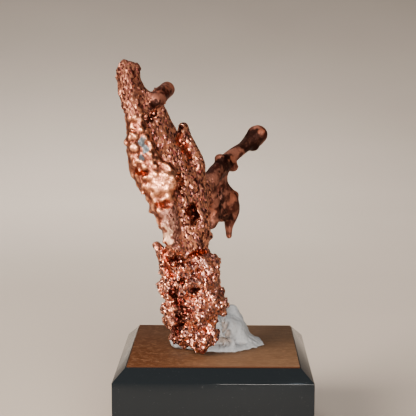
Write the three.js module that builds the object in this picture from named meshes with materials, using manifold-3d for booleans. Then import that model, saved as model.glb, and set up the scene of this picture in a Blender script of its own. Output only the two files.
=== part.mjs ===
// A native copper nugget, fixed with white tack on a bevelled display block.
// Millimetres, +Z up. The origin is the centre of the block's underside. +X runs to the nugget's
// arm, +Y to its back, so the block's sides are square to the axes.

import * as THREE from "three";
import { mergeVertices } from "three/addons/utils/BufferGeometryUtils.js";
import Module from "manifold-3d";

const wasm = await Module();
wasm.setup();

// ---- Driving dimensions ------------------------------------------------------------------------

const BLOCK_SIDE = 50.8; // a two-inch square block, one inch high with its veneer
const BLOCK_HEIGHT = 25;
const BLOCK_BEVEL = 3.2; // 45 degrees, on the four top edges
const VENEER_SIDE = 43.8;
const VENEER_THICKNESS = 0.4;
const TOP = BLOCK_HEIGHT + VENEER_THICKNESS; // the surface that the specimen stands on

const GAP = 0.3; // clearance between the copper, the tack and the veneer
const BLUNTNESS = 0.7; // length of a limb's rounded end, as a share of its half width there
const ROUGHNESS = 0.12; // how far the lumps move a limb's surface, as a share of its girth
const END_CROWDING = 0.11; // how much closer the rings lie towards a limb's ends
const BUD_SIZE = 2.5; // a knob up to this half size is a bud with few faces
const LUMP_WAVES = [1.2, 1.4, 1.3]; // waves of the surface's swelling along X, Y and Z, in rad/mm
const BEND_WAVES = [1.1, 0.9, 0.8]; // slower waves that bend those, so that no lumps line up
const BENDS = [1.7, 1.9, 2.1]; // how far they bend them, in radians
const SAME_POINT = 1e-4; // points closer than this are one corner

// ---- Helpers -----------------------------------------------------------------------------------

// A joined or cut piece: three.js geometry in, manifold solid out, and back.
function solidOf(geometry) {
  const bare = geometry.clone();
  bare.deleteAttribute("normal");
  bare.deleteAttribute("uv");
  const closed = mergeVertices(bare, SAME_POINT);
  return new wasm.Manifold(
    new wasm.Mesh({
      numProp: 3,
      vertProperties: new Float32Array(closed.attributes.position.array),
      triVerts: new Uint32Array(closed.index.array),
    }),
  );
}

function geometryOf(solid) {
  const { vertProperties, triVerts } = solid.getMesh();
  const geometry = new THREE.BufferGeometry();
  geometry.setAttribute("position", new THREE.BufferAttribute(vertProperties, 3));
  geometry.setIndex(new THREE.BufferAttribute(triVerts, 1));
  geometry.computeVertexNormals();
  return geometry;
}

const joined = (geometries) =>
  geometries.map(solidOf).reduce((whole, piece) => whole.add(piece));

// Uneven swelling of a grown or pressed surface, from -1 to 1, about 5 mm from lump to lump.
function swelling({ x, y, z }) {
  const bend = [x, y, z].map((place, axis) => BENDS[axis] * Math.sin(BEND_WAVES[axis] * place));
  const alongX = Math.sin(LUMP_WAVES[0] * x + bend[2]);
  const alongY = Math.sin(LUMP_WAVES[1] * y + bend[0]);
  const alongZ = Math.sin(LUMP_WAVES[2] * z + bend[1]);
  return (alongX + alongY + alongZ) / 3;
}

// A limb is a closed tube with rounded ends along a smooth spine. A station on it is
// [x, y, height above the veneer, half width, half depth]. The width is measured across the
// limb as seen from the front, and the depth along Y, unless the limb leans: then the right
// edge of one that runs downwards swings back by that angle. Rings and sides are a sphere's.
function limb(stations, { rings = 16, sides = 14, lean = 0, grow = 0, rough = ROUGHNESS } = {}) {
  const spine = new THREE.CatmullRomCurve3(
    stations.map(([x, y, height]) => new THREE.Vector3(x, y, TOP + height)),
  );
  const girth = new THREE.CatmullRomCurve3(
    stations.map(([, , , wide, deep]) => new THREE.Vector3(wide, deep, 0)),
  );
  const tips = [spine.getPoint(0), spine.getPoint(1)];
  const capLengths = [stations[0], stations.at(-1)].map((station) => BLUNTNESS * station[3]);
  const shape = new THREE.SphereGeometry(1, sides, rings);
  const { position } = shape.attributes;
  for (let i = 0; i < position.count; i += 1) {
    const ring = Math.floor(i / (sides + 1)) / rings;
    const along = ring - END_CROWDING * Math.sin(2 * Math.PI * ring);
    const turn = (2 * Math.PI * ((i % (sides + 1)) % sides)) / sides;
    const point = spine.getPoint(along);
    const forward = spine.getTangent(along);
    const depthWay = new THREE.Vector3(0, 1, 0).addScaledVector(forward, -forward.y).normalize();
    depthWay.applyAxisAngle(forward, -lean);
    const widthWay = new THREE.Vector3().crossVectors(depthWay, forward);
    const fromEnds = tips.map((tip, end) => point.distanceTo(tip) / capLengths[end]);
    const fullness = Math.sqrt(1 - (1 - Math.min(1, ...fromEnds)) ** 2);
    const { x: wide, y: deep } = girth.getPoint(along);
    const offset = new THREE.Vector3()
      .addScaledVector(widthWay, -Math.cos(turn) * (wide + grow))
      .addScaledVector(depthWay, Math.sin(turn) * (deep + grow))
      .multiplyScalar(fullness);
    point.add(offset).addScaledVector(offset, rough * swelling(point));
    position.setXYZ(i, point.x, point.y, point.z);
  }
  return shape;
}

// A knob is a ball stretched along the axes: a lump or bud on the copper, or the tool of a pit.
// A bigger one has more faces, so that the swelling can shape it.
function knob([x, y, height], half, { grow = 0, turn = 0, rough = ROUGHNESS } = {}) {
  const detail = Math.max(...half) > BUD_SIZE ? 2 : 1;
  const shape = new THREE.IcosahedronGeometry(1, detail);
  const { position } = shape.attributes;
  const centre = new THREE.Vector3(x, y, TOP + height);
  for (let i = 0; i < position.count; i += 1) {
    const offset = new THREE.Vector3().fromBufferAttribute(position, i);
    offset.multiply(new THREE.Vector3(...half).addScalar(grow));
    offset.applyAxisAngle(new THREE.Vector3(0, 1, 0), turn);
    const point = centre.clone().add(offset);
    point.addScaledVector(offset, rough * swelling(point));
    position.setXYZ(i, point.x, point.y, point.z);
  }
  return shape;
}

// ---- The nugget --------------------------------------------------------------------------------

// The tall blade is a thick plate whose left edge comes forward, with a rounded rib along it.
const BLADE = [
  [-21.2, -13.6, 76.5, 2.4, 1.9],
  [-21.4, -13.6, 74, 3.1, 2.3],
  [-21.4, -13.2, 71.2, 3.2, 2.4],
  [-20.2, -12.8, 67.6, 3.9, 2.6],
  [-17.8, -12, 64, 5.3, 2.7],
  [-16.7, -11.6, 60.4, 6.3, 2.8],
  [-15.9, -11.4, 57.4, 6.8, 3.0],
  [-14.8, -11.2, 53.8, 7.2, 3.2],
  [-13.2, -11, 50, 8.0, 3.4],
  [-11.1, -10.8, 46, 8.6, 3.6],
  [-9.4, -10.8, 42, 8.3, 3.8],
  [-7.9, -10.9, 37.4, 7.4, 3.8],
  [-7, -11, 33.6, 6.8, 3.8],
  [-6.9, -11, 29.8, 6.0, 3.8],
  [-6.8, -11, 24.6, 5.0, 3.8],
];
const BLADE_LEAN = 0.35;
const RIB = [
  [-21.9, -14.4, 75.8, 1.7, 1.7],
  [-21.7, -14.6, 70.6, 2.0, 2.0],
  [-20.6, -14.6, 65.2, 2.5, 2.2],
  [-19, -14.6, 59.2, 2.9, 2.4],
  [-17.4, -14.8, 53, 3.4, 2.7],
  [-15.4, -15, 47, 3.9, 3.0],
  [-13.2, -15.2, 41.6, 3.6, 2.8],
  [-11.6, -15, 36, 2.9, 2.5],
  [-10.2, -14.2, 28.6, 2.2, 2.2],
];
// Its outgrowths: a nub that leaves its face and leans back, and a thin spur beside a cleft.
const NUB = [
  [-15.5, -14.2, 65.0, 1.8, 1.7],
  [-14.3, -12.6, 66.8, 2.1, 1.9],
  [-13, -9, 68.3, 2.2, 2.0],
  [-11.2, -5, 69.6, 2.1, 2.0],
];
const SPUR = [
  [-8.3, -5.6, 60.6, 1.4, 1.3],
  [-7.5, -6.4, 56.6, 1.9, 1.6],
  [-6.2, -7.2, 53.4, 2.3, 2.0],
  [-4.8, -7.8, 49.8, 2.4, 2.3],
  [-3.8, -8.6, 44, 2.4, 2.6],
];
// The arm reaches back and to the right, ends in a bulb, and drops a hooked prong.
const ARM = [
  [-5, -8, 40.4, 2.2, 2.2],
  [-1.4, -2.8, 44.6, 2.5, 2.3],
  [1.8, 1.8, 48.2, 2.3, 2.1],
  [4.4, 4.8, 50.6, 2.0, 1.9],
  [7, 7.4, 52.3, 1.7, 1.8],
  [9.4, 9.4, 54.1, 2.1, 2.1],
  [11.4, 10.8, 55.8, 2.9, 2.5],
  [13.2, 11.7, 58.3, 2.2, 2.0],
];
const PRONG = [
  [2, 2.2, 48.4, 2.1, 1.6],
  [2.3, 3, 43.2, 1.5, 1.6],
  [4.1, 3.6, 39.2, 2.6, 2.1],
  [4.5, 4, 35.6, 2.3, 1.9],
  [3.9, 4, 32, 1.3, 1.3],
  [4, 4, 28.2, 0.8, 0.8],
];
// A thin fan of copper fills the corner between the arm, the prong and the blade.
const FAN = [
  [-0.2, -0.2, 47.6, 1.8, 1.6],
  [0.4, 0.4, 44.8, 2.8, 1.8],
  [1, 1, 42, 3.0, 1.8],
  [2.1, 1.6, 38.8, 4.2, 1.8],
  [2, 1.8, 36, 3.8, 1.6],
  [1.6, 1.6, 33.2, 2.5, 1.3],
];
const FAN_LEAN = 0.5;
const WEB = [
  [-3, -4.4, 45.4, 2.2, 2.0],
  [-1.2, -2.2, 41, 2.6, 2.2],
  [-0.3, -1, 36.4, 2.4, 1.9],
  [-1, -1.8, 31.6, 1.2, 1.2],
];
// Below a waist the copper is a coarse mass of lumps grown together, down to a narrow foot.
const LUMPS = [
  [[-9.8, -11, 24.8], [4.4, 4.2, 4.6]],
  [[-2.8, -9.8, 23.8], [3.9, 4.2, 3.9]],
  [[-6.2, -10.8, 18.9], [5.7, 4.8, 5.2]],
  [[-2.1, -9.8, 14.8], [5.6, 5.4, 5.6]],
  [[-0.7, -9, 19.4], [3.0, 3.6, 4.4]],
  [[-10.6, -12.2, 17.2], [3.7, 4.0, 3.8]],
  [[-9.8, -12.4, 12.2], [3.6, 3.8, 4.4]],
  [[-4.9, -11.2, 10], [5.4, 4.6, 4.8]],
  [[-7.2, -12, 6.2], [4.2, 3.6, 3.8]],
  [[-3.3, -11.8, 4.9], [3.9, 3.4, 3.7]],
];
const FLANGE = [
  [-15.7, -9.4, 29.8, 1.0, 1.2],
  [-13.8, -9.8, 27, 1.7, 1.7],
  [-12, -10.2, 23.4, 2.3, 2.2],
  [-10.8, -10.8, 19, 2.6, 2.6],
];
const SPIKE = [
  [-0.4, -8.2, 10.6, 1.0, 1.0],
  [2.4, -6.6, 11.2, 0.6, 0.6],
  [4.6, -6, 12.4, 0.35, 0.35],
];

// Small buds: centre, then half sizes.
const BUDS = [
  [[-22.5, -13.8, 75.8], [1.2, 1.4, 1.2]],
  [[-19.7, -13.4, 74.6], [1.5, 1.6, 1.4]],
  [[-1.5, -8.4, 31.2], [1.4, 1.9, 1.3]],
  [[-0.9, -10.6, 6.6], [1.2, 1.6, 1.4]],
  [[-2.8, -12.8, 1.6], [1.3, 1.3, 1.3]],
  [[5, 4, 47.9], [1.6, 1.5, 1.4]],
  [[10.4, 10, 53], [1.8, 1.6, 1.5]],
  [[1.5, 1.8, 50.3], [1.7, 1.4, 1.5]],
  [[5, 4, 40.2], [1.7, 1.5, 1.6]],
  [[-13.4, -12.4, 19.8], [1.4, 1.6, 1.1]],
  [[-9.2, -15, 28.6], [1.8, 1.7, 1.7]],
  [[-12.9, -15.8, 46.2], [4.2, 2.6, 5.2]],
  [[-9.3, -6.9, 55.4], [1.7, 1.3, 3.0]],
];

// Holes and furrows: centre, half sizes, and the turn about the line of sight in radians.
const HOLLOWS = [
  [[-5.1, -13.6, 37.6], [1.0, 3.0, 2.6], -0.4],
  [[-12.2, -18, 40.6], [1.8, 1.5, 1.0], 0.2],
  [[-7.9, -16, 13.8], [1.1, 2.2, 4.6], 0.42],
  [[-9.4, -15.8, 8.4], [0.9, 2.0, 3.0], 0],
  [[-5, -15.8, 18.6], [1.2, 1.6, 1.3], 0.4],
  [[-8.2, -15.6, 21], [0.9, 1.6, 1.2], 0],
  [[-9, -15, 25.6], [2.8, 1.6, 1.4], 0],
  [[-9, -9.8, 55.4], [0.9, 1.7, 3.2], 0.3],
  [[-15.4, -14.6, 62.8], [1.8, 1.8, 0.9], -0.5],
  [[1, -1.2, 41], [0.6, 1.4, 4.2], 0.1],
];

function nuggetSolid() {
  const blade = [
    limb(BLADE, { rings: 28, sides: 18, lean: BLADE_LEAN }),
    limb(RIB, { rings: 22, sides: 12 }),
    limb(NUB, { rings: 9, sides: 10 }),
    limb(SPUR, { rings: 12, sides: 10 }),
  ];
  const arm = [
    limb(ARM, { rings: 18, sides: 10 }),
    limb(PRONG, { rings: 14, sides: 10 }),
    limb(FAN, { rings: 10, sides: 12, lean: FAN_LEAN }),
    limb(WEB, { rings: 9, sides: 10 }),
  ];
  const foot = [
    ...LUMPS.map(([centre, half]) => knob(centre, half)),
    limb(FLANGE, { rings: 9, sides: 8 }),
    limb(SPIKE, { rings: 7, sides: 6 }),
  ];
  const buds = BUDS.map(([centre, half]) => knob(centre, half));
  const hollows = HOLLOWS.map(([centre, half, turn]) => knob(centre, half, { turn }));
  return joined([...blade, ...arm, ...foot, ...buds]).subtract(joined(hollows));
}

// ---- The tack ----------------------------------------------------------------------------------

// A pressed ridge behind the foot with a peak at its right, a folded lobe, and a thin skirt.
const TACK_ROUGHNESS = 0.06;
const TACK_RIDGE = [
  [-11.6, -3, 1.6, 1.5, 1.8],
  [-8.4, -4, 2.6, 3.0, 3.4],
  [-2.4, -3.4, 3.4, 5.0, 4.8],
  [3.6, -0.2, 3, 5.0, 4.8],
  [8.6, 0.8, 1, 3.2, 5.0],
  [12.8, 2.4, -0.4, 1.2, 2.4],
];
const TACK_PEAK = [
  [4.9, 1.7, 10.8, 1.2, 0.9],
  [5, 1.5, 8.2, 2.0, 1.6],
  [5.2, 1.2, 5.4, 3.0, 2.6],
  [5.7, 0.8, 2.6, 5.0, 3.8],
  [6.3, 0.6, -1, 6.4, 4.8],
];
const TACK_LOBE = [
  [0.4, -5.2, 8.8, 1.3, 1.3],
  [0.9, -6.4, 6.2, 1.8, 1.6],
  [2.2, -7, 3.9, 1.7, 1.5],
  [5.8, -6.8, 1.8, 0.9, 1.3],
];
const TACK_SKIRT = [
  [-3.4, -6.6, 0.2, 1.3, 2.0],
  [0.3, -6.4, 0.2, 1.4, 2.4],
  [4.7, -6, 0.2, 1.3, 2.6],
  [8.2, -3, 0.2, 1.4, 2.9],
  [12.4, 1.2, 0, 1.2, 2.4],
];

// What the tack is pressed against: the copper's low lumps, grown by the clearance.
function footImprint() {
  return joined([...LUMPS, ...BUDS].map(([centre, half]) => knob(centre, half, { grow: GAP })));
}

function tackSolid() {
  const low = TOP - BLOCK_HEIGHT / 2;
  const below = new THREE.BoxGeometry(BLOCK_SIDE, BLOCK_SIDE, BLOCK_HEIGHT).translate(0, 0, low);
  const lump = joined([
    limb(TACK_RIDGE, { rings: 16, sides: 14, rough: TACK_ROUGHNESS }),
    limb(TACK_PEAK, { rings: 10, sides: 12, rough: TACK_ROUGHNESS }),
    limb(TACK_LOBE, { rings: 12, sides: 12, rough: TACK_ROUGHNESS }),
    limb(TACK_SKIRT, { rings: 14, sides: 10, rough: TACK_ROUGHNESS }),
  ]);
  return lump.subtract(solidOf(below)).subtract(footImprint());
}

// ---- The block and its veneer ------------------------------------------------------------------

// Four-sided lathe work: a square block whose profile carries the bevel.
function blockGeometry() {
  const corner = Math.SQRT2 * (BLOCK_SIDE / 2);
  const topCorner = corner - Math.SQRT2 * BLOCK_BEVEL;
  const profile = [
    new THREE.Vector2(0, 0),
    new THREE.Vector2(corner, 0),
    new THREE.Vector2(corner, BLOCK_HEIGHT - BLOCK_BEVEL),
    new THREE.Vector2(topCorner, BLOCK_HEIGHT),
    new THREE.Vector2(0, BLOCK_HEIGHT),
  ];
  return new THREE.LatheGeometry(profile, 4).rotateY(Math.PI / 4).rotateX(Math.PI / 2);
}

function veneerGeometry() {
  const veneer = new THREE.BoxGeometry(VENEER_SIDE, VENEER_SIDE, VENEER_THICKNESS);
  return veneer.translate(0, 0, BLOCK_HEIGHT + VENEER_THICKNESS / 2);
}

// ---- The scene graph ---------------------------------------------------------------------------

function piece(name, geometry, look) {
  const mesh = new THREE.Mesh(geometry, new THREE.MeshStandardMaterial(look));
  mesh.name = name;
  return mesh;
}

const group = new THREE.Group();
group.name = "native_copper_on_block";
group.add(
  piece("copper_nugget", geometryOf(nuggetSolid()), {
    color: 0xb9785c,
    metalness: 1,
    roughness: 0.38,
  }),
  piece("mounting_putty", geometryOf(tackSolid()), {
    color: 0xcfcfcb,
    metalness: 0,
    roughness: 0.7,
  }),
  piece("wood_top", veneerGeometry(), { color: 0x74472b, metalness: 0, roughness: 0.45 }),
  piece("display_block", blockGeometry(), { color: 0x2a2b2b, metalness: 0, roughness: 0.12 }),
);

export default group;
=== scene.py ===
# %% [markdown]
# # A native copper nugget on its display block
# Copper that grew underground as one branching mass of small crystals, held upright with white
# tack on a dark, polished block whose top is veneered with wood. The frame holds the four solids
# at their real size and place. This script gives each its real surface, and never moves one.

# %% Load the frame
import math

import bpy
import numpy as np
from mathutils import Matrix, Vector


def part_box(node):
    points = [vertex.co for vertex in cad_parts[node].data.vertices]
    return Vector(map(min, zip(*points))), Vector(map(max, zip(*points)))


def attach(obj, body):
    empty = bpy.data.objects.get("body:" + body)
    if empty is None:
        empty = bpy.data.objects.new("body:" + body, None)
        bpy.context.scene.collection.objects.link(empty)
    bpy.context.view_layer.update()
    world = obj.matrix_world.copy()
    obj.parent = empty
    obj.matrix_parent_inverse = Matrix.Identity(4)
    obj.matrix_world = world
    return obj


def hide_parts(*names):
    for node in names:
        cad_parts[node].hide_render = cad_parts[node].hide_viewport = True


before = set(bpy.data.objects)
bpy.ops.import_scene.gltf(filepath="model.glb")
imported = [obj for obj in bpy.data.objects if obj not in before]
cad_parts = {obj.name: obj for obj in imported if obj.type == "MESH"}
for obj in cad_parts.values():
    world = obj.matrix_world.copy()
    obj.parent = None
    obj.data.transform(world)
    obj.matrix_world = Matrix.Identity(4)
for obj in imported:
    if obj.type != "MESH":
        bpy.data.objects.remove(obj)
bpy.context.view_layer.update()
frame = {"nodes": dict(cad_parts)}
MM = 0.001  # Blender's unit is the metre, and the sizes below are worked out in millimetres
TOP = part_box("wood_top")[1].z  # the surface that the specimen stands on

# %% [markdown]
# ## Camera
# The specimen is looked at from a little above its middle, from about 30 cm away, with a long
# lens, so the block's top shows as a narrow band and its sides hardly converge. The camera could
# be aimed at a target, but a place, a tilt and a turn say the same in fewer lines.

# %% Camera
EYE = Vector((3.3, -302.0, 104.1)) * MM
LOOK_DOWN = math.radians(7.8)
LOOK_LEFT = math.radians(0.94)
LENS = 98.8

bpy.ops.object.camera_add(location=EYE, rotation=(math.radians(90) - LOOK_DOWN, 0, LOOK_LEFT))
camera = bpy.context.object
camera.data.lens = LENS
bpy.context.scene.camera = camera
bpy.context.scene.view_settings.look = "AgX - Medium High Contrast"
print("camera with a", LENS, "mm lens")

# %% [markdown]
# ## Selecting and applying
# An operator works on whatever is selected, so each step starts by selecting only its own piece.
# A modifier could stay live on its piece. Here it is added, set and applied in one call, so that
# the next step works on the surface that it made.


# %% Selecting and applying
def pick(piece):
    """Select this piece and nothing else, so that the next operator works on it."""
    bpy.ops.object.select_all(action="DESELECT")
    piece.select_set(True)
    bpy.context.view_layer.objects.active = piece


def apply_modifier(piece, kind, **settings):
    """Add a modifier, set it, and apply it to the mesh."""
    pick(piece)
    modifier = piece.modifiers.new(kind.title(), kind)
    for name, value in settings.items():
        setattr(modifier, name, value)
    bpy.ops.object.modifier_apply(modifier=modifier.name)


print("solids in the frame:", ", ".join(frame["nodes"]))

# %% [markdown]
# ## Numbers on the vertices
# Some places on the specimen are coarse, smooth or stained, and others aren't. Such a zone could
# be painted by hand. Here it is worked out from each vertex's place, because every remesh makes
# new vertices, and a painted zone would be lost. It is then kept with the mesh: as a vertex
# group for Displace and Smooth, or as an attribute for nodes.


# %% Numbers on the vertices
WEIGHT_STEPS = 10


def places(piece):
    """The vertices' places as an array, in millimetres."""
    flat = np.zeros(3 * len(piece.data.vertices), np.float32)
    piece.data.vertices.foreach_get("co", flat)
    return flat.reshape(-1, 3).astype(float) / MM


def store(piece, name, values):
    """Keep one number for each vertex, for a modifier's nodes or a material to read."""
    found = piece.data.attributes.get(name)
    attribute = found or piece.data.attributes.new(name, "FLOAT", "POINT")
    attribute.data.foreach_set("value", np.asarray(values, np.float32))


def weigh(piece, name, values):
    """The same as a vertex group, in steps of a tenth, which Displace and Smooth can read."""
    group = piece.vertex_groups.new(name=name)
    for step in range(WEIGHT_STEPS + 1):
        chosen = np.flatnonzero(np.round(np.asarray(values) * WEIGHT_STEPS) == step)
        group.add(chosen.tolist(), step / WEIGHT_STEPS, "REPLACE")


print("the nugget's solid has", len(places(frame["nodes"]["copper_nugget"])), "vertices")

# %% [markdown]
# ## Soft borders
# Nothing on a grown thing stops at a hard line, so each zone fades out over a millimetre or two.
# A straight ramp would show where it starts and ends, and a smooth step doesn't.


# %% Soft borders
def ease(values, start, end):
    """A smooth step from 0 at start to 1 at end."""
    share = np.clip((np.asarray(values) - start) / (end - start), 0, 1)
    return share * share * (3 - 2 * share)


def near(points, centre, half):
    """1 around the centre of a soft ellipsoid, falling to 0 at its half sizes."""
    reach = np.linalg.norm((points - np.array(centre)) / np.array(half), axis=1)
    return 1 - ease(reach, 0.35, 1)


print("a quarter of the way through a soft border:", float(ease(0.25, 0, 1)))

# %% [markdown]
# ## The stage
# The specimen stands in front of pale paper. A sheet bent behind it would show its ends from
# other sides, so the floor is a disc that curves up all round into a low wall. The disc's outer
# edge is extruded upwards and widened, ring by ring, along an arc.

# %% Floor
FLAT_RADIUS = 0.45
RIM_RADIUS = 1.1
RIM_STEPS = 16
RIM_END = math.radians(70)
ROUND_STEPS = 96


def rim(step):
    """The floor's radius and height at this step up its curved rim."""
    angle = RIM_END * step / RIM_STEPS
    return FLAT_RADIUS + RIM_RADIUS * math.sin(angle), RIM_RADIUS * (1 - math.cos(angle))


bpy.ops.mesh.primitive_circle_add(vertices=ROUND_STEPS, radius=FLAT_RADIUS, fill_type="TRIFAN")
stage = bpy.context.object
stage.name = "stage_floor"
bpy.ops.object.mode_set(mode="EDIT")
bpy.ops.mesh.select_all(action="SELECT")
bpy.ops.mesh.region_to_loop()
for step in range(RIM_STEPS):
    (radius, height), (next_radius, next_height) = rim(step), rim(step + 1)
    rise = (0, 0, next_height - height)
    bpy.ops.mesh.extrude_region_move(TRANSFORM_OT_translate={"value": rise})
    bpy.ops.transform.resize(value=(next_radius / radius, next_radius / radius, 1))
bpy.ops.object.mode_set(mode="OBJECT")
bpy.ops.object.shade_smooth()
print("floor of", len(stage.data.polygons), "faces")

# %% [markdown]
# ## Soft lights
# Polished metal shows its surroundings, so rough copper needs a few soft lights with dim room
# between them: then each crystal is either bright or dark, and the mass sparkles. A whole room
# could be wrapped round the scene, but single lights can be placed one by one. Two of them light
# the paper behind, and the small cool one is a window, which the bevel mirrors.

# %% Soft lights
SPECIMEN = Vector((0, 0, 0.07))
BACKDROP = Vector((-0.1, 0.58, 0.0))
# In each row: name, place and width in metres, power in watts, beam in degrees, colour.
LIGHTS = [
    ("key", (-0.46, -0.40, 0.34), 0.34, 1.5, 70, (1.0, 0.90, 0.80)),
    ("front", (0.14, -0.70, 0.15), 0.30, 1.1, 60, (1.0, 0.93, 0.86)),
    ("backdrop", (-0.24, 0.46, 0.85), 0.40, 0.85, 110, (1.0, 0.96, 0.93)),
    ("glow", (-0.12, 0.40, 0.42), 0.20, 1.0, 130, (1.0, 0.96, 0.91)),
    ("window", (0.26, -0.42, 1.00), 0.09, 0.03, 60, (0.8, 0.9, 1.0)),
]


def soft_light(name, place, width, power, beam, colour):
    """Add a square light that faces the specimen or, from behind it, the backdrop."""
    bpy.ops.object.light_add(type="AREA", location=place)
    light = bpy.context.object
    light.name = name + "_light"
    light.data.size = width
    light.data.energy = power
    light.data.spread = math.radians(beam)
    light.data.color = colour
    target = BACKDROP if place[1] > 0 else SPECIMEN
    light.rotation_euler = (target - Vector(place)).to_track_quat("-Z", "Y").to_euler()
    return light


for row in LIGHTS:
    soft_light(*row)
print(len(LIGHTS), "soft lights")

# %% [markdown]
# ## Ceiling and room
# Those lights have limited beams, so the rest of the floor and its wall would go dark. A wide
# ceiling light reaches all round, and the room itself sends a little light back. Metal would
# mirror the ceiling and look flat, so that light is hidden from reflections.

# %% Ceiling and room
ROOM_LIGHT = 0.11

ceiling = soft_light(
    "ceiling", (0, 0, 1.3), width=1.0, power=3.5, beam=180, colour=(1.0, 0.98, 0.97)
)
ceiling.visible_glossy = False
room = bpy.data.worlds.new("room")
bpy.context.scene.world = room
room.use_nodes = True
background = room.node_tree.nodes["Background"].inputs
background["Color"].default_value = (0.98, 0.94, 0.93, 1)
background["Strength"].default_value = ROOM_LIGHT
print("room light:", ROOM_LIGHT)

# %% [markdown]
# ## Shader maths
# A material is a sum of small steps. Its Math nodes could be added and linked one by one, at
# several lines for each sum. `Amount` wraps a node's output instead, so that Python's own signs
# add the nodes, and a sum reads like a sum.


# %% Shader maths
class Amount:
    """One output of a node in a material. Sums with it add Math nodes."""

    def __init__(self, finish, socket):
        self.finish = finish
        self.socket = socket

    def output(self, name):
        """Another output of the same node."""
        return Amount(self.finish, self.socket.node.outputs[name])

    def maths(self, operation, *terms):
        """A Math node on these terms."""
        return self.finish.node("ShaderNodeMath", {"operation": operation}, dict(enumerate(terms)))

    def __add__(self, other):
        return self.maths("ADD", self, other)

    def __sub__(self, other):
        return self.maths("SUBTRACT", self, other)

    def __rsub__(self, other):
        return self.maths("SUBTRACT", other, self)

    def __mul__(self, other):
        return self.maths("MULTIPLY", self, other)

    __radd__ = __add__
    __rmul__ = __mul__

    def most(self, other):
        """The greater of the two."""
        return self.maths("MAXIMUM", self, other)

    def clipped(self):
        """The same amount, held between 0 and 1."""
        return self.finish.node("ShaderNodeClamp", {}, {"Value": self, "Min": 0, "Max": 1})

    def rising(self, start, end):
        """0 before start, 1 past end, and a smooth step between. It falls if end is the lower."""
        return self.finish.node(
            "ShaderNodeMapRange",
            {"interpolation_type": "SMOOTHSTEP"},
            {"Value": self, "From Min": start, "From Max": end},
        )


print("signs that add Math nodes: + - *")

# %% [markdown]
# ## A material in the making
# Every finish below starts from an empty material and ends in one Principled surface. The node
# editor shows the same thing as boxes and wires. In a script, one method that adds any node, its
# settings first and then its sockets, keeps each step to a line.


# %% A material in the making
class Finish:
    """A material in the making."""

    def __init__(self, name):
        self.material = bpy.data.materials.new(name)
        self.material.use_nodes = True
        self.tree = self.material.node_tree
        self.tree.nodes.clear()

    def node(self, kind, settings, sockets, output=0):
        """Add a node: its settings first, then the values or links of its sockets."""
        made = self.tree.nodes.new(kind)
        for name, value in settings.items():
            setattr(made, name, value)
        for name, value in sockets.items():
            if isinstance(value, Amount):
                self.tree.links.new(value.socket, made.inputs[name])
            else:
                made.inputs[name].default_value = value
        return Amount(self, made.outputs[output])

    def place(self):
        """Where a point is on the piece, in metres."""
        return self.node("ShaderNodeTexCoord", {}, {}, "Object")

    def noise(self, size, detail, where=None):
        """Soft noise, 0 to 1, with blotches of this size in millimetres."""
        sockets = {"Vector": where or self.place(), "Scale": 1 / (size * MM), "Detail": detail}
        return self.node("ShaderNodeTexNoise", {}, sockets)

    def cells(self, size, where=None):
        """Cells of this size in millimetres: how far from the middle, and a colour for each."""
        sockets = {"Vector": where or self.place(), "Scale": 1 / (size * MM)}
        return self.node("ShaderNodeTexVoronoi", {}, sockets, "Distance")

    def kept(self, name):
        """A number stored on the piece's vertices."""
        return self.node("ShaderNodeAttribute", {"attribute_name": name}, {}, "Fac")

    def mix(self, share, first, second):
        """From the first colour to the second."""
        kind = {"data_type": "RGBA"}
        return self.node("ShaderNodeMix", kind, {0: share, 6: first, 7: second}, 2)

    def vector(self, operation, sockets):
        """A Vector Math node, for normals and colours."""
        return self.node("ShaderNodeVectorMath", {"operation": operation}, sockets)

    def bump(self, height, depth, strength, normal=None):
        """Raise the surface where height is 1, by this depth in millimetres."""
        sockets = {"Height": height, "Distance": depth * MM, "Strength": strength}
        if normal:
            sockets["Normal"] = normal
        return self.node("ShaderNodeBump", {}, sockets)

    def done(self, sockets):
        """End in a Principled surface with these values and links."""
        surface = self.node("ShaderNodeBsdfPrincipled", {}, sockets)
        end = self.tree.nodes.new("ShaderNodeOutputMaterial")
        self.tree.links.new(surface.socket, end.inputs["Surface"])
        return self.material


print("a finish can be written, node by node")

# %% [markdown]
# ## Colours
# Blender's colours are amounts of light, and the eye's even steps aren't. A colour is easier to
# choose in the screen values of a colour picker, so `tint` turns those into light.


# %% Colours
def light_of(value):
    """The amount of light that a screen value of 0 to 255 stands for."""
    share = value / 255
    return share / 12.92 if share <= 0.04045 else ((share + 0.055) / 1.055) ** 2.4


def tint(red, green, blue):
    """A colour from screen values of 0 to 255."""
    return (light_of(red), light_of(green), light_of(blue), 1)


def dress(piece, material):
    """Give the piece this one material."""
    piece.data.materials.clear()
    piece.data.materials.append(material)


print("middle grey is", round(light_of(128), 3), "of full light")

# %% [markdown]
# ## The paper's finish
# Matt warm paper, hardly uneven. One flat colour would look like a screen, so wide, soft noise
# shifts it a little.


# %% Paper finish
def paper_finish():
    """Matt paper with a faint cloudiness."""
    finish = Finish("pale_paper")
    cloud = finish.noise(size=120, detail=1)
    colour = finish.mix(cloud, tint(186, 176, 166), tint(194, 184, 174))
    return finish.done({"Base Color": colour, "Roughness": 0.9, "Specular IOR Level": 0.1})


dress(stage, paper_finish())
print("paper finish on", stage.name)

# %% [markdown]
# ## Where the nugget's features are
# The lower mass is coarse. The blade above it has a lumpy rib on its left and fine grain on its
# right, and the arm and the nub are smooth. Smaller features are marked by soft spots, each given
# by its middle above the veneer and its half sizes, in millimetres. They could be modelled one by
# one, but as marks they all go through the same few steps, and each can be moved alone.

# %% Marks for the shape
# The border between the lumpy rib on the left and the fine grain on the right of the blade, from
# the waist up: a height above the veneer, and the border's place from side to side.
RIB_BORDER = [
    (28, -10.6), (33, -10.6), (36, -12.4), (39.6, -11), (41.6, -9.5), (50.5, -9.3),
    (51.5, -12), (53, -14), (56.8, -16), (61.8, -17.2), (66.8, -18.4), (73, -19.9),
]
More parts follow.
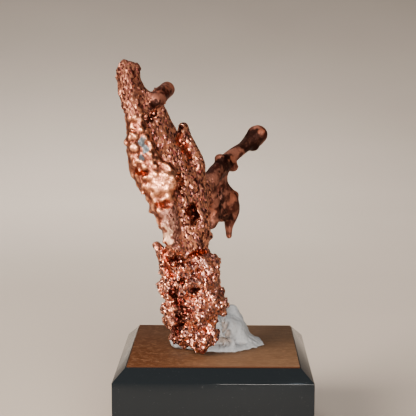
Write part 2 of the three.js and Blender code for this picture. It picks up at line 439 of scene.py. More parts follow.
# The smooth nub that leaves the blade's face near its tip.
NUB = [
    [(-15.4, -15.6, 65.2), (3.2, 2.2, 3.2)],
    [(-14.0, -13.4, 67.0), (3.2, 3.2, 3.2)],
    [(-12.6, -8.6, 68.6), (5, 5.5, 5)],
    [(-10.8, -5, 69.8), (6, 5.5, 6)],
]
# A thin spike by the tack stays free of crystals, and so do a plate and a tongue on the rib.
SPIKE = [[(3.2, -6.6, 11.4), (6, 3, 3)]]
PATCHES = [
    [(-11.6, -17.5, 46.0), (3.6, 4, 5.8)],
    [(-14.8, -17.5, 45.6), (3.2, 4, 4.6)],
]
TONGUE = [
    [(-10.8, -17, 37.4), (3.4, 5, 3.4)],
    [(-10.2, -17, 33), (3.6, 5, 5.0)],
]
# Pits and crevices, pressed deep and darkened with painted shade.
PITS = [
    [(-15.8, -14.5, 62.6), (2.6, 5, 0.9)],
    [(-18.8, -16.6, 48.6), (2.4, 5, 1.1)],
    [(-5.5, -12, 39.0), (1.5, 8, 1.8)],
    [(-4.7, -12, 37.0), (1.1, 8, 2.8)],
    [(-8.4, -15.6, 46), (0.8, 5, 5.4)],
    [(-9.5, -14, 25.8), (3.0, 5, 1.5)],
    [(-4, -13.5, 27.2), (3.4, 5, 1.1)],
    [(-10.3, -16, 17.4), (1.5, 5, 2.2)],
    [(-9.2, -15.6, 15), (1.8, 5, 2.6)],
    [(-7.6, -15, 12.6), (2.0, 5, 2.2)],
    [(-8.6, -15.6, 10.2), (1.6, 5, 2.4)],
    [(-9.8, -14.6, 7.4), (1.3, 5, 2.4)],
    [(-7.7, -14.9, 20.3), (1.5, 5, 1.5)],
    [(-5, -14.6, 18.2), (1.7, 5, 1.2)],
]
# Crystals thicken the foot's flanks, so these start leaner, and rounded cells thin the rib's
# edge, so that starts fuller.
LEANER = [
    [(2.8, -10, 18.5), (2.4, 9, 7.5)],
    [(-13, -12, 17.5), (1.8, 8, 5)],
]
FULLER = [[(-20.6, -15, 51), (2.6, 8, 11)]]

print(len(PITS), "pits and", len(NUB), "spots along the nub")

# %% [markdown]
# ## Colour marks
# Colour marks mostly paint light and shade: a red glow of reflected light in recesses, painted
# shade, nearly black, with some tarnish, on the arm's end and in its folds, and painted highlights
# on its ridges. Noise alone would spread these evenly. They get marks of their own, and noise only
# varies them.

# %% Marks for the colour
# A painted red glow of light reflected in recesses, such as beside the small prong and at the
# foot's tip.
PAINTED_RED_GLOW = [
    [(-8.9, -9, 56.6), (1.4, 5, 2.6)],
    [(-7.6, -9, 54.4), (1.4, 5, 2.0)],
    [(-6.4, -10, 52.4), (1.2, 5, 1.6)],
    [(-12.9, -13, 27.4), (1.3, 4, 2.0)],
    [(-12.1, -14, 25), (1.3, 4, 2.2)],
    [(-11.5, -14, 22.6), (1.6, 4, 2.2)],
    [(-18.9, -16.6, 48.7), (2.0, 4, 1.2)],
    [(-13.4, -17, 40.6), (1.6, 4, 1.0)],
    [(-4.4, -13, 27.4), (3.6, 4, 1.4)],
    [(-2.3, -13.8, 7.5), (0.8, 4, 1.4)],
    [(-3.1, -13.7, 0.9), (1.8, 4, 1.2)],
    [(-6.4, -12, 38.2), (1.0, 5, 2.4)],
]
# Painted shade, with some tarnish, makes the smooth arm nearly black on its end and in its folds,
# and darkens the nub's underside and the blade below it.
TARNISH_AND_PAINTED_SHADE = [
    [(9.8, 7.6, 54.8), (5.0, 6, 5.0)],
    [(3.0, 0.5, 49.4), (3.0, 6, 3.0)],
    [(1.9, -0.4, 40), (0.9, 5, 4.5)],
    [(2.5, 0.2, 35.6), (1.0, 5, 2.6)],
    [(4.0, 1.3, 34.4), (1.6, 5, 1.8)],
    [(-15.8, -15, 62.4), (3.8, 4, 1.8)],
    [(-15, -15.6, 65.6), (2.4, 3, 2.4)],
]
# Painted highlights on the arm's ridges and bulb, the nub's end and the tongue's left strip.
PAINTED_HIGHLIGHTS = [
    [(12.5, 8.9, 57.4), (1.5, 5, 1.6)],
    [(5.2, 2.9, 50.1), (1.3, 4, 1.7)],
    [(4.8, 1.5, 39.6), (1.6, 4, 2.2)],
    [(5.7, 3.1, 41.4), (1.2, 4, 1.2)],
    [(-0.7, -2.8, 36.5), (1.0, 4, 3.4)],
    [(4.1, 3.1, 29.0), (1.2, 4, 1.4)],
    [(-11.3, -5.5, 70), (2.4, 4, 2.2)],
    [(-13.4, -10, 68.4), (2.2, 4, 1.6)],
    [(-11.6, -17, 32.4), (1.4, 5, 5.0)],
]
# The foot's left flank is browner than the mass beside it.
DULL = [[(-11, -13, 11), (3.0, 6, 6)]]
# A bluish-grey stain lies on the rib.
STAINS = [
    [(-17.8, -17, 56.2), (1.2, 6, 2.0)],
    [(-17.2, -17, 54.6), (1.1, 6, 1.4)],
    [(-18.2, -17, 52.6), (0.8, 6, 1.0)],
]

# The red spots counted here are a painted glow of reflected light.
print(len(PAINTED_RED_GLOW), "spots of red oxide,", len(TARNISH_AND_PAINTED_SHADE), "dark and", len(PAINTED_HIGHLIGHTS), "pale ones")

# %% [markdown]
# ## From marks to zones
# A round spot would look like a drop of paint, so two sine waves bend the points before they are
# measured against the marks. The large zones come from height, from depth and from the rib's
# border, and only the nub is marked.


# %% Marks and zones
WAIST = (24, 30)  # the heights between which the coarse foot ends
ARM_FRONT = (-6.5, -3.5)  # the depths between which the smooth arm starts
ARM_BELOW = (25, 30)  # and the heights
RIB_BACK = (-10, -12)  # the depths between which the rib starts, towards the front
RIB_END = (61, 67)  # the heights between which it ends
TIP = (62, 66)  # the heights between which the blade's coarser tip starts
DULL_TIP = (60, 67)  # and its duller colour


def height_of(points):
    """Height above the veneer, in millimetres."""
    return points[:, 2] - TOP / MM


def marked(points, marks, ragged=1.0):
    """The strongest of the marks' soft spots at each point, with ragged borders."""
    broad_wave = 0.5 * np.sin(2.1 * points[:, [2, 0, 1]])  # half a millimetre, every 3 mm
    fine_wave = 0.3 * np.sin(5.3 * points[:, [1, 2, 0]])  # and 0.3 mm, every 1.2 mm
    bent = points + ragged * (broad_wave + fine_wave)
    lift = np.array((0, 0, TOP / MM))
    return np.max([near(bent, lift + middle, half) for middle, half in marks], axis=0)


def away_from(points, marks, firmness):
    """0 in the marks' middles, rising to 1 away from them. A firmer mark has a wider middle."""
    return 1 - np.clip(firmness * marked(points, marks), 0, 1)


def zones(points):
    """How far each point belongs to the coarse foot, the smooth limbs and the lumpy rib."""
    side, depth = points[:, 0], points[:, 1]
    height = height_of(points)
    coarse = 1 - ease(height + 0.5 * np.sin(side), *WAIST)
    arm = ease(depth, *ARM_FRONT) * ease(height, *ARM_BELOW)
    border = np.interp(height, *zip(*RIB_BORDER))
    rib = ease(border - side, -0.6, 0.6) * (1 - coarse)
    rib = rib * ease(depth, *RIB_BACK) * (1 - ease(height, *RIB_END))
    return coarse, np.maximum(arm, marked(points, NUB)), rib


solid = places(frame["nodes"]["copper_nugget"])
for zone, share in zip(("coarse", "smooth", "rib"), zones(solid)):
    print(zone, "takes up", round(100 * share.mean()), "% of the solid's vertices")

# %% [markdown]
# ## Tools for rough surfaces
# Rough metal could be sculpted by hand, but nobody could repeat that. Here a texture decides how
# far each vertex moves along its normal. Clouds make soft waves, and Voronoi cells make rounded
# lumps with creases between them.


# %% Tools for rough surfaces
def body_of(node, name):
    """A merged copy of a CAD solid, free to be shaped."""
    piece = bpy.data.objects.new(name, frame["nodes"][node].data.copy())
    bpy.context.scene.collection.objects.link(piece)
    pick(piece)
    bpy.ops.object.mode_set(mode="EDIT")
    bpy.ops.mesh.select_all(action="SELECT")
    bpy.ops.mesh.remove_doubles(threshold=0.01 * MM)
    bpy.ops.object.mode_set(mode="OBJECT")
    return piece


def remesh(piece, cell):
    """Wrap the piece in a new, closed skin of cells of this size in millimetres."""
    apply_modifier(piece, "REMESH", mode="VOXEL", voxel_size=cell * MM, use_smooth_shade=True)


def soften(piece, rounds, group=""):
    """Average each vertex with its neighbours, this many times."""
    apply_modifier(piece, "SMOOTH", factor=0.5, iterations=rounds, vertex_group=group)


def displace(piece, texture, strength, group="", middle=0.5):
    """Move the surface along its normals by the texture, at most by the strength in millimetres."""
    apply_modifier(
        piece, "DISPLACE", texture=texture, texture_coords="LOCAL",
        strength=strength * MM, mid_level=middle, vertex_group=group,
    )


def push(piece, group, distance):
    """Move a vertex group out by a distance in millimetres, or in if it is less than 0."""
    displace(piece, None, distance, group, middle=0)


def clouds(name, size):
    """A texture of soft waves of this size in millimetres."""
    texture = bpy.data.textures.new(name, "CLOUDS")
    texture.noise_scale = size * MM
    return texture


def pillows(name, size):
    """A texture that is 0 in the middle of each rounded cell and rises towards its border."""
    texture = bpy.data.textures.new(name, "VORONOI")
    texture.noise_scale = size * MM
    return texture


print("rough surfaces come from clouds and pillows")

# %% [markdown]
# ## The nugget's body
# The solid gives the limbs and lumps their size and place, but it is too clean: real native
# copper has no tidy joints. A subdivided copy would keep every crease of it, so the copy is
# merged, remeshed in small cells and smoothed, and the limbs flow into each other. Then it is
# displaced, coarsely on the lower mass and gently on the blade. A thin spike by the tack stays
# as it is.

# %% Nugget body
BODY_CELL = 0.36

nugget = body_of("copper_nugget", "nugget")
remesh(nugget, BODY_CELL)
weigh(nugget, "around_spike", away_from(places(nugget), SPIKE, firmness=2))
soften(nugget, rounds=3, group="around_spike")

body = places(nugget)
coarse, _, rib = zones(body)
free = away_from(body, SPIKE, firmness=2)
in_rib = rib * (1 - 0.35 * marked(body, PATCHES)) * (1 - 0.8 * marked(body, TONGUE))
weigh(nugget, "in_foot", coarse * free)
weigh(nugget, "in_rib", in_rib)
weigh(nugget, "uneven", (0.25 + 0.55 * coarse - 0.1 * rib) * free)
weigh(nugget, "in_pits", marked(body, PITS))
weigh(nugget, "leaner", marked(body, LEANER))
weigh(nugget, "fuller", marked(body, FULLER))
displace(nugget, clouds("broad_lumps", size=3.6), strength=1.8, group="uneven")
displace(nugget, pillows("foot_lumps", size=3.6), strength=-1.9, group="in_foot", middle=0.35)
displace(nugget, pillows("rib_lumps", size=1.7), strength=-1.5, group="in_rib", middle=0.3)
displace(nugget, clouds("small_lumps", size=1.5), strength=0.6, group="uneven")
push(nugget, "in_pits", -2.0)
push(nugget, "leaner", -0.7)
push(nugget, "fuller", 0.8)
print("nugget body of", len(nugget.data.polygons), "faces")

# %% [markdown]
# ## One crystal
# Copper often grows in cubes with blunt corners, drawn out or flattened. One such cube is
# modelled, and every crystal on the nugget is a stretched and turned copy of it. It has only 14
# faces, because there are many copies.

# %% One crystal
BLUNTNESS = 0.24  # of the cube's side

bpy.ops.mesh.primitive_cube_add(size=1)
crystal = bpy.context.object
crystal.name = "crystal_pattern"
bpy.ops.object.mode_set(mode="EDIT")
bpy.ops.mesh.bevel(offset=BLUNTNESS, offset_type="OFFSET", affect="VERTICES")
bpy.ops.object.mode_set(mode="OBJECT")
print("crystal of", len(crystal.data.polygons), "faces")

# %% [markdown]
# ## Scattering
# A loop could place the crystals one at a time, with the surface's shape worked out in Python.
# Geometry Nodes already knows the surface: points are strewn on its faces by a density, each
# point gets a copy of the crystal, and the copies are made real mesh.


# %% Scatter by density
LEAST_STRETCH = 0.55
MOST_STRETCH = 1.35


def scatter(piece, pattern, density_name, size_name, seed):
    """Join copies of a pattern to the piece, by the density and size stored on its vertices."""
    tree = bpy.data.node_groups.new("crystal_scatter", "GeometryNodeTree")
    tree.interface.new_socket("Geometry", in_out="INPUT", socket_type="NodeSocketGeometry")
    tree.interface.new_socket("Geometry", in_out="OUTPUT", socket_type="NodeSocketGeometry")

    def add(kind, **settings):
        """Add a node, with these settings."""
        made = tree.nodes.new(kind)
        for name, value in settings.items():
            setattr(made, name, value)
        return made

    start, end = add("NodeGroupInput"), add("NodeGroupOutput")
    density = add("GeometryNodeInputNamedAttribute", data_type="FLOAT")
    density.inputs["Name"].default_value = density_name
    size = add("GeometryNodeInputNamedAttribute", data_type="FLOAT")
    size.inputs["Name"].default_value = size_name
    points = add("GeometryNodeDistributePointsOnFaces", distribute_method="RANDOM")
    points.inputs["Seed"].default_value = seed
    turn = add("FunctionNodeRandomValue", data_type="FLOAT_VECTOR")
    turn.inputs["Max"].default_value = [math.tau] * 3
    turn.inputs["Seed"].default_value = seed + 1
    stretch = add("FunctionNodeRandomValue", data_type="FLOAT_VECTOR")
    stretch.inputs["Min"].default_value = [LEAST_STRETCH] * 3
    stretch.inputs["Max"].default_value = [MOST_STRETCH] * 3
    stretch.inputs["Seed"].default_value = seed + 2
    sized = add("ShaderNodeVectorMath", operation="SCALE")
    source = add("GeometryNodeObjectInfo")
    source.inputs["Object"].default_value = pattern
    copies = add("GeometryNodeInstanceOnPoints")
    real = add("GeometryNodeRealizeInstances")
    both = add("GeometryNodeJoinGeometry")
    for output, socket in (
        (start.outputs["Geometry"], points.inputs["Mesh"]),
        (density.outputs["Attribute"], points.inputs["Density"]),
        (points.outputs["Points"], copies.inputs["Points"]),
        (source.outputs["Geometry"], copies.inputs["Instance"]),
        (turn.outputs["Value"], copies.inputs["Rotation"]),
        (stretch.outputs["Value"], sized.inputs[0]),
        (size.outputs["Attribute"], sized.inputs["Scale"]),
        (sized.outputs["Vector"], copies.inputs["Scale"]),
        (copies.outputs["Instances"], real.inputs["Geometry"]),
        (real.outputs["Geometry"], both.inputs["Geometry"]),
        (start.outputs["Geometry"], both.inputs["Geometry"]),
        (both.outputs["Geometry"], end.inputs["Geometry"]),
    ):
        tree.links.new(output, socket)
    apply_modifier(piece, "NODES", node_group=tree)


print("a crystal's sides are", LEAST_STRETCH, "to", MOST_STRETCH, "times its size")

# %% [markdown]
# ## Growing the crystals
# On the specimen they are large and crowded on the lower mass, small and sparse on the blade, and
# missing from the smooth arm. They come in two growths: a few large lumps, melted in by a remesh,
# and then the crowd of small ones. A last, finer remesh makes one closed skin of it all, because
# metal that grew as one piece has no loose crystals.


# %% Grow the crystals
SKIN_CELL = 0.27


def grow(densities, sizes, seed):
    """Scatter crystals, with a density per square mm and a size in mm for foot, rib and rest."""
    points = places(nugget)
    coarse, smooth, rib = zones(points)
    parts = (coarse, rib, 1 - np.maximum(coarse, rib))
    rough = (1 - smooth) * away_from(points, SPIKE + PATCHES + TONGUE + PAINTED_RED_GLOW, firmness=1.6)
    rough = rough * away_from(points, PITS, firmness=1.5)
    tip = ease(height_of(points), *TIP)
    density = sum(each * part for each, part in zip(densities, parts)) * (1 + 2 * tip)
    store(nugget, "density", density * rough / MM**2)
    size = sum(each * part for each, part in zip(sizes, parts)) * (1 + 0.6 * tip)
    store(nugget, "crystal", size * MM)
    before = len(nugget.data.polygons)
    scatter(nugget, crystal, "density", "crystal", seed)
    print("grew", (len(nugget.data.polygons) - before) // len(crystal.data.polygons), "crystals")


grow(densities=(0.05, 0, 0), sizes=(1.9, 1, 1), seed=5)
remesh(nugget, BODY_CELL)
grow(densities=(1.0, 0.05, 0.12), sizes=(0.7, 0.7, 0.42), seed=7)
bpy.data.objects.remove(crystal)
remesh(nugget, SKIN_CELL)
print("nugget skin of", len(nugget.data.polygons), "faces")

# %% [markdown]
# ## What the copper's finish needs to know
# The finish paints shade into hollows and highlights onto crests. A shader could measure that at
# each render, but a number kept with the mesh is the same in every program. So each vertex is
# compared with a smoothed copy of the skin, which tells how deep it lies, and the zones and the
# marks are stored beside that.

# %% Hollows and zones
HOLLOW_SPREAD = 30  # rounds of smoothing, enough to level a crystal


def depth_below(piece):
    """How far each vertex lies below the smoothed surface, in millimetres."""
    rough = places(piece)
    normals = np.zeros(3 * len(rough), np.float32)
    piece.data.vertices.foreach_get("normal", normals)
    even = piece.copy()
    even.data = piece.data.copy()
    bpy.context.scene.collection.objects.link(even)
    soften(even, HOLLOW_SPREAD)
    gone = places(even) - rough
    bpy.data.objects.remove(even)
    return (gone * normals.reshape(-1, 3)).sum(axis=1)


skin = places(nugget)
coarse, smooth, rib = zones(skin)
known = {
    "hollow": depth_below(nugget),
    "coarse": coarse,
    "smooth": smooth,
    "rib": rib,
    "painted_pit_shade": marked(skin, PITS),
    "patch": marked(skin, PATCHES),
    "tongue": marked(skin, TONGUE),
    "stain": marked(skin, STAINS, ragged=0.6),
    "painted_red_glow": marked(skin, PAINTED_RED_GLOW, ragged=0.5),
    "tarnish_and_painted_shade": marked(skin, TARNISH_AND_PAINTED_SHADE),
    "wear_and_painted_light": marked(skin, PAINTED_HIGHLIGHTS),
    "dull": np.maximum(ease(height_of(skin), *DULL_TIP), marked(skin, DULL)),
}
for name, values in known.items():
    store(nugget, name, values)
print("stored:", ", ".join(known))

# %% [markdown]
# ## The copper's sparkle
# Every crystal face is a small mirror with its own tilt, and that makes the sparkle. Faces this
# small could be modelled, but they would take millions of triangles. Voronoi cells, longer than
# wide, stand for them here: each cell's random colour is its tilt, added to the surface's normal.
# The smooth limbs get little of it, and the rib gets broader facets.


# %% Copper sparkle
GRAIN = 0.38  # the width of a grain, in millimetres
GRAIN_LENGTH = 1.8  # times its width
GRAIN_LEAN = -0.3  # in radians, as the blade leans
FACET = 1.9  # the width of a facet on the rib, in millimetres
CELL_MIDDLE = (0.5, 0.5, 0.5)  # an average cell colour, which stands for no tilt


def copper_grain(finish):
    """Small cells drawn out along the blade."""
    turn = (0, GRAIN_LEAN, 0)
    size = (1, 1, GRAIN_LENGTH)
    drawn_out = finish.node(
        "ShaderNodeMapping",
        {"vector_type": "TEXTURE"},
        {"Vector": finish.place(), "Rotation": turn, "Scale": size},
    )
    return finish.cells(GRAIN, drawn_out)


def tilt_of(finish, cells, share):
    """Each cell's own tilt, made weaker or stronger by the share."""
    away = finish.vector("SUBTRACT", {0: cells.output("Color"), 1: CELL_MIDDLE})
    return finish.vector("SCALE", {0: away, "Scale": share})


def sparkle(finish, grain, smooth_zone, rib_zone):
    """The surface's normal, tipped by the fine grain and by the rib's facets."""
    fine = tilt_of(finish, grain, 1.4 - (smooth_zone * 1.2).most(rib_zone * 1.1))
    broad = tilt_of(finish, finish.cells(FACET), rib_zone * 0.25)
    flat = finish.node("ShaderNodeNewGeometry", {}, {}, "Normal")
    tilt = finish.vector("ADD", {0: fine, 1: broad})
    tipped = finish.vector("NORMALIZE", {0: finish.vector("ADD", {0: flat, 1: tilt})})
    return finish.bump(1 - grain, depth=0.08, strength=0.5, normal=tipped)


print("grain of", GRAIN, "mm, and facets of", FACET, "mm on the rib")

# %% [markdown]
# ## The copper's colours
# Clean copper is salmon, and it turns brown and then black with age. Each is a mix of two or
# three tints by noise and by the stored marks, which also paint shade and highlights. A patina
# from a library would be quicker, but it wouldn't follow the hollows and ridges of this nugget.


# %% Copper colours
def clean_copper(finish, fleck, coarse_zone, rib_zone, patch):
    """Bright and dim grains; on the rib, painted highlights on crests and painted shade between."""
    dim = finish.mix(coarse_zone, tint(118, 80, 77), tint(158, 124, 121))
    grains = finish.mix(fleck.rising(0.3, 0.85), dim, tint(250, 180, 148))
    # Painted highlight on raised crests and on the plate, painted shade in the rib's hollows.
    painted_crest_light = finish.kept("hollow").rising(0.02, -0.16) + patch * 0.4
    lumps = finish.mix(painted_crest_light.clipped(), tint(124, 74, 60), tint(254, 188, 152))
    return finish.mix(rib_zone * 0.8, grains, lumps)


def tarnished_copper(finish, mottle, tarnish_and_painted_shade, tongue):
    """Brown streaks, painted shade nearly black, and painted light on the tongue and ridges."""
    streak = finish.noise(size=2.6, detail=3).rising(0.42, 0.6)
    colour = finish.mix(streak, tint(69, 31, 21), tint(138, 92, 77))
    # Painted shade, with some tarnish: nearly black where the arm and the nub are marked.
    colour = finish.mix(tarnish_and_painted_shade * 0.94, colour, tint(38, 13, 7))
    mottled = finish.mix(mottle.rising(0.35, 0.65), tint(112, 72, 62), tint(174, 130, 114))
    # On the tongue, a mauve mottle of painted shade.
    colour = finish.mix(tongue, colour, mottled)
    # Painted highlights where ridges are marked, cream on the tongue.
    ridge = finish.kept("wear_and_painted_light").rising(0.1, 0.9) * (0.35 + mottle * 0.8)
    painted_highlight_tint = finish.mix(tongue, tint(154, 98, 78), tint(226, 186, 158))
    return finish.mix(ridge.clipped(), colour, painted_highlight_tint)


def recesses(finish, colour, mottle):
    """The colour with painted shade in hollows and pits, and a painted red glow where marked."""
    hollow = finish.kept("hollow")
    # Painted shade: darker and redder the deeper a vertex lies below the smoothed skin.
    colour = finish.mix(hollow.rising(0.0, 0.2) * 0.55, colour, tint(150, 94, 82))
    colour = finish.mix(hollow.rising(0.16, 0.5), colour, tint(72, 24, 14))
    # Painted shade in the marked pits.
    colour = finish.mix(finish.kept("painted_pit_shade").rising(0.05, 0.6) * 0.85, colour, tint(76, 22, 13))
    # A painted red glow of light reflected in recesses, where it is marked.
    glow = finish.kept("painted_red_glow").rising(0.1, 0.7) * (0.4 + mottle * 0.45)
    return finish.mix(glow.clipped(), colour, tint(144, 52, 30))


# The oxidised red is a painted glow of reflected light, and the dark recesses are painted shade.
print("clean, tarnished and oxidised copper can be mixed")

# %% [markdown]
# ## The copper's finish
# Clean metal reflects all its light as metal does, and tarnish is partly dull crust, so where the
# copper is worn brown, and where shade is painted, it is less metallic and a little rougher.
# Two materials with a border between them would look patched. It is one material, and its values
# change with the zones.


# %% Copper finish
def copper_finish():
    """Native copper from salmon to black, sparkling where it is clean."""
    finish = Finish("native_copper")
    smooth_zone = finish.kept("smooth")
    rib_zone = finish.kept("rib")
    coarse_zone = finish.kept("coarse")
    dull = finish.kept("dull")
    # The plate on the rib gets a painted highlight and no tarnish.
    patch = finish.kept("patch").rising(0.1, 0.7)
    # Painted shade, with some tarnish, where the arm and the nub are marked.
    tarnish_and_painted_shade = finish.kept("tarnish_and_painted_shade").rising(0.05, 0.6)
    # The tongue: a cream strip of painted highlight beside a mauve mottle of painted shade.
    tongue = finish.kept("tongue").rising(0.05, 0.5)
    stain = finish.kept("stain").rising(0.1, 0.6)
    blotch = finish.noise(size=4.5, detail=4).rising(0.42, 0.62)
    mottle = finish.noise(size=1.6, detail=3)
    grain = copper_grain(finish)
    fleck = finish.node("ShaderNodeSeparateColor", {}, {"Color": grain.output("Color")}, "Red")
    shine = fleck.output("Green")

    metal = clean_copper(finish, fleck, coarse_zone, rib_zone, patch)
    tarnish = tarnished_copper(finish, mottle, tarnish_and_painted_shade, tongue)
    # The share of worn, tarnished colour; it also carries the painted shade and the tongue's
    # painted light.
    wear_and_painted_light = blotch * 0.15 + smooth_zone * 0.95 + dull * 0.5
    wear_and_painted_light = wear_and_painted_light.most(tongue).most(tarnish_and_painted_shade * 0.7).clipped() * (1 - patch)
    colour = finish.mix(wear_and_painted_light, metal, tarnish)
    speck = (fleck - dull * 0.14).rising(0.3, 0.22) * (1 - smooth_zone) * (1 - rib_zone * 0.8)
    colour = finish.mix(speck * 0.8, colour, tint(78, 36, 30))
    colour = recesses(finish, colour, mottle)
    colour = finish.mix(stain * 0.9, colour, tint(82, 95, 101))
    return finish.done({
        "Base Color": colour,
        "Metallic": (1 - wear_and_painted_light * 0.4 + tarnish_and_painted_shade * 0.14 - stain * 0.6).clipped(),
        "Roughness": (0.34 + shine * 0.2 + wear_and_painted_light * 0.08 - coarse_zone * 0.06).clipped(),
        "Normal": sparkle(finish, grain, smooth_zone, rib_zone),
    })


dress(nugget, copper_finish())
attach(nugget, "root")
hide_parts("copper_nugget")
print("copper finish on", nugget.name)

# %% [markdown]
# ## White tack
# A lump of mineral tack, kneaded and pushed up behind the foot to hold it. Tack keeps every dent
# and has no sharp edge. A simulation of soft matter would give dents, but not in these places, so
# its solid goes through the same steps as the nugget's: remesh, smooth, push by marks, displace.

# %% Tack
# Where the front face was pinched into folds.
TACK_FOLDS = [
    [(2.5, -6, 7.6), (0.8, 5, 2.0)],
    [(3.1, -6, 6.0), (0.9, 5, 2.0)],
    [(3.9, -6, 4.4), (0.9, 5, 1.8)],
    [(2.4, -8.5, 2.8), (3.6, 5, 1.7)],
]
# The thin right end, the slope down to it, and the flap beside the foot.
TACK_END = [[(11.6, -0.6, 3.4), (4.4, 8, 3.4)]]
TACK_SLOPE = [[(5.2, -1.0, 6.2), (4.4, 6, 4.2)]]
TACK_FLAP = [[(2.6, -8.5, 2.6), (5, 5, 3)]]
TACK_CELL = 0.25
MELT_ROUNDS = 150  # rounds of smoothing, enough to take a lump away

tack = body_of("mounting_putty", "tack_lump")
remesh(tack, TACK_CELL)
soften(tack, rounds=6)
weigh(tack, "melted", marked(places(tack), TACK_SLOPE + TACK_FLAP, ragged=0))
soften(tack, MELT_ROUNDS, group="melted")
kneaded = places(tack)
weigh(tack, "slope", marked(kneaded, TACK_SLOPE, ragged=0))
weigh(tack, "folds", marked(kneaded, TACK_FOLDS, ragged=0.3))
weigh(tack, "flat_end", marked(kneaded, TACK_END, ragged=0))
push(tack, "slope", 0.7)
push(tack, "folds", -1.2)
push(tack, "flat_end", -0.7)
displace(tack, clouds("kneading", size=2.6), strength=0.6)
displace(tack, clouds("creases", size=1.1), strength=0.35)
# The folds' marks deepen the stored hollow, so that painted shade falls in them.
folds = 0.3 * marked(places(tack), TACK_FOLDS, ragged=0.3)
store(tack, "hollow", np.maximum(depth_below(tack), folds))
print("tack of", len(tack.data.polygons), "faces")

# %% [markdown]
# ## The tack's finish
# Off-white and matt, with blotches of grey-brown grime, painted shade in the folds, and a few dark
# crumbs. The shade could be painted on, but the depth that is already stored puts it there.


# %% Tack finish
def tack_finish():
    """Off-white putty, with painted shade in its folds."""
    finish = Finish("white_tack")
    grime = finish.noise(size=2.2, detail=3).rising(0.55, 0.8)
    colour = finish.mix(grime * 0.5, tint(149, 152, 155), tint(134, 126, 118))
    # Painted shade, tan, in the folds and hollows.
    deep = finish.kept("hollow").rising(0.02, 0.3)
    colour = finish.mix(deep * 0.6, colour, tint(124, 102, 84))
    crumbs = finish.noise(size=0.5, detail=1).rising(0.76, 0.8)
    colour = finish.mix(crumbs, colour, tint(74, 62, 54))
    fingered = finish.bump(finish.noise(size=0.8, detail=4), depth=0.16, strength=0.8)
    return finish.done({"Base Color": colour, "Roughness": 0.62, "Normal": fingered})


dress(tack, tack_finish())
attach(tack, "root")
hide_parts("mounting_putty")
print("tack finish on", tack.name)

# %% [markdown]
# ## Display block
# A block of dark acrylic, sawn, bevelled wide round its top and polished, which softens every
# edge a little. The CAD solid has the wide bevel but knife-sharp edges, and a sharp edge catches
# no light. A cube is bevelled twice instead: the wide one at the top, and then a fine one all
# over.


# %% Boxes
def box_between(name, low, high):
    """A box from one corner to the other, with its place and size in its mesh."""
    bpy.ops.object.select_all(action="DESELECT")
    bpy.ops.mesh.primitive_cube_add(size=1, location=(low + high) / 2)
    piece = bpy.context.object
    piece.name = name
    piece.scale = high - low
    bpy.ops.object.transform_apply(location=True, rotation=False, scale=True)
    return piece


def soften_edges(piece, width, segments):
    """Round every edge of the piece by a narrow bevel, with smooth shading across it."""
    pick(piece)
    bpy.ops.object.mode_set(mode="EDIT")
    bpy.ops.mesh.select_all(action="SELECT")
    bpy.ops.mesh.bevel(offset=width * MM, segments=segments, affect="EDGES")
    bpy.ops.object.mode_set(mode="OBJECT")
    bpy.ops.object.shade_smooth_by_angle(angle=math.radians(30))


print("boxes can be made and softened")

# %% [markdown]
# ## The block's bevels
# The four top edges are picked by their height, not by their numbers, which would change if
# anything before this did. The wide bevel has one flat segment, as a saw leaves it.

# %% Block
TOP_BEVEL = 3.2
EDGE_SOFTNESS = 0.07

block_low, block_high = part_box("display_block")
block = box_between("polished_block", block_low, block_high)
bpy.ops.object.mode_set(mode="EDIT")
bpy.ops.mesh.select_all(action="DESELECT")
bpy.ops.object.mode_set(mode="OBJECT")
for edge in block.data.edges:
    ends = [block.data.vertices[end].co for end in edge.vertices]
    edge.select = min(end.z for end in ends) > block_high.z - 0.1 * MM
bpy.ops.object.mode_set(mode="EDIT")
bpy.ops.mesh.bevel(offset=TOP_BEVEL * MM, segments=1, affect="EDGES")
bpy.ops.object.mode_set(mode="OBJECT")
soften_edges(block, EDGE_SOFTNESS, segments=3)
print("block of", len(block.data.polygons), "faces")

# %% [markdown]
# ## The block's finish
# Polished, nearly black acrylic with a faint haze and a little dust. A perfect mirror would look
# like a drawing. The haze changes how sharp the reflections are, and each speck of dust is paler
# and duller.


# %% Block finish
def block_finish():
    """Dark polished acrylic, lightly dusted."""
    finish = Finish("dark_polished_block")
    dust = finish.noise(size=0.35, detail=1).rising(0.72, 0.8)
    haze = finish.noise(size=9, detail=3)
    colour = finish.mix(dust * 0.25, tint(29, 33, 36), tint(96, 99, 101))
    return finish.done({
        "Base Color": colour,
        "Roughness": 0.04 + haze * 0.06 + dust * 0.2,
        "Specular IOR Level": 0.4,
    })


dress(block, block_finish())
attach(block, "root")
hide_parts("display_block")
print("block finish on", block.name)

# %% [markdown]
# ## Wood veneer
# A thin sheet of wood laid on the block. It is one flat box with its edges eased, as a rub with
# sandpaper leaves them. A plane would do from above, but the sheet's cut edge shows as a line.

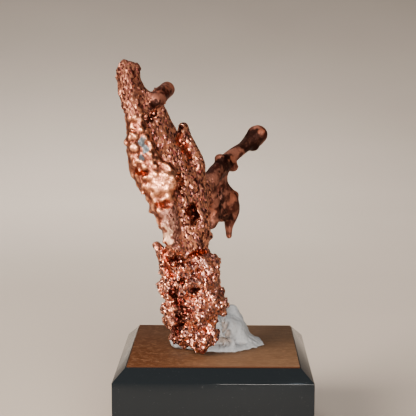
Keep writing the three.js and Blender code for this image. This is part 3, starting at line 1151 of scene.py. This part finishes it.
# %% Veneer
SANDED = 0.05

veneer = box_between("wood_veneer", *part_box("wood_top"))
soften_edges(veneer, SANDED, segments=2)
print("veneer of", len(veneer.data.polygons), "faces")

# %% [markdown]
# ## The veneer's finish
# Brown wood under a satin varnish, with a painted sheen that makes it paler to the right, and its
# grain and small pale flecks from side to side. Grain could be drawn as stripes, but real grain
# wavers and ends, so noise is stretched along it. The cut edge shows none of this and is painted a
# plain, darker brown, as shade.


# %% Veneer finish
def along_grain(finish, stretch):
    """Places squeezed from side to side, so that a pattern on them is drawn out that way."""
    squeeze = {"Vector": finish.place(), "Scale": (stretch, 1, 1)}
    return finish.node("ShaderNodeMapping", {}, squeeze)


def part_of(finish, vector, letter):
    """One part of a vector: X, Y or Z."""
    return finish.node("ShaderNodeSeparateXYZ", {}, {"Vector": vector}, letter)


def veneer_finish():
    """Brown varnished wood with grain from side to side."""
    finish = Finish("brown_veneer")
    grain = finish.noise(size=0.5, detail=4, where=along_grain(finish, stretch=0.08))
    flecks = finish.noise(size=0.35, detail=2, where=along_grain(finish, stretch=0.3))
    flecks = flecks.rising(0.5, 0.7)
    # A painted sheen: paler towards the right.
    painted_sheen_rightward = part_of(finish, finish.place(), "X").rising(-0.018, 0.006)
    colour = finish.mix(painted_sheen_rightward, tint(78, 49, 33), tint(109, 86, 68))
    colour = finish.mix(grain.rising(0.4, 0.7) * 0.4, colour, tint(80, 50, 32))
    colour = finish.mix(flecks * 0.5, colour, tint(142, 112, 88))
    # The cut edge, which faces sideways, is painted darker as shade.
    facing = finish.node("ShaderNodeNewGeometry", {}, {}, "Normal")
    upward = part_of(finish, facing, "Z").rising(0.3, 0.9)
    return finish.done({
        "Base Color": finish.mix(upward, tint(72, 46, 32), colour),
        "Roughness": 0.4 + grain * 0.14,
        "Specular IOR Level": 0.08,
        "Normal": finish.bump(grain, depth=0.02, strength=0.4),
    })


dress(veneer, veneer_finish())
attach(veneer, "root")
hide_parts("wood_top")
print("veneer finish on", veneer.name)
